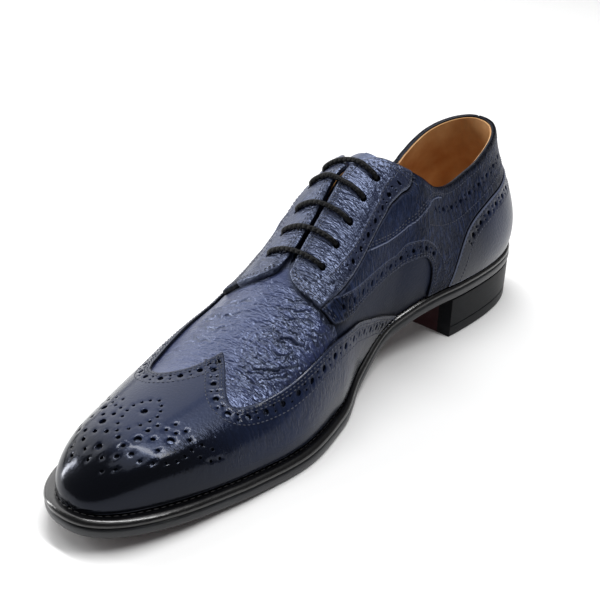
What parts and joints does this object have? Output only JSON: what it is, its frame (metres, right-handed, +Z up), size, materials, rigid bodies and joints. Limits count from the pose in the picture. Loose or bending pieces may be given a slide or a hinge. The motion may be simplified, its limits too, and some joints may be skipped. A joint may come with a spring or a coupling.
{
  "type": "wingtip shoe",
  "caption": "Lace-up wingtip dress shoe for the right foot: hollow leather upper with brogue overlays, open lacing over a tongue, welted sole with arch, toe spring and stacked heel.",
  "frame": {"origin": "middle of the bounding box at the floor", "axes": "+Z up from the floor; the toe points to -Y and the heel to +Y; the medial (inner) side of this right shoe faces +X"},
  "size_m": [0.099, 0.308, 0.1069],
  "materials": {
    "navy_grain": "grained, satin",
    "burnished": "smooth, polished, near black at the toe",
    "welt_edge": "waxed black edge",
    "sole_edge": "black, satin",
    "lining": "plain tan",
    "lace": "waxed cord"
  },
  "bodies": {
    "root": {"outsole": "sole_edge", "welt": "welt_edge", "heel": "sole_edge", "insole": "lining", "upper": "navy_grain", "tongue": "navy_grain", "wing_cap": "burnished", "quarter_medial": "navy_grain", "quarter_lateral": "navy_grain", "eyestay_medial": "navy_grain", "eyestay_lateral": "navy_grain", "heel_counter": "burnished", "lace_bar_1": "lace", "lace_bar_2": "lace", "lace_bar_3": "lace", "lace_bar_4": "lace", "lace_bar_5": "lace"}
  },
  "joints": []
}
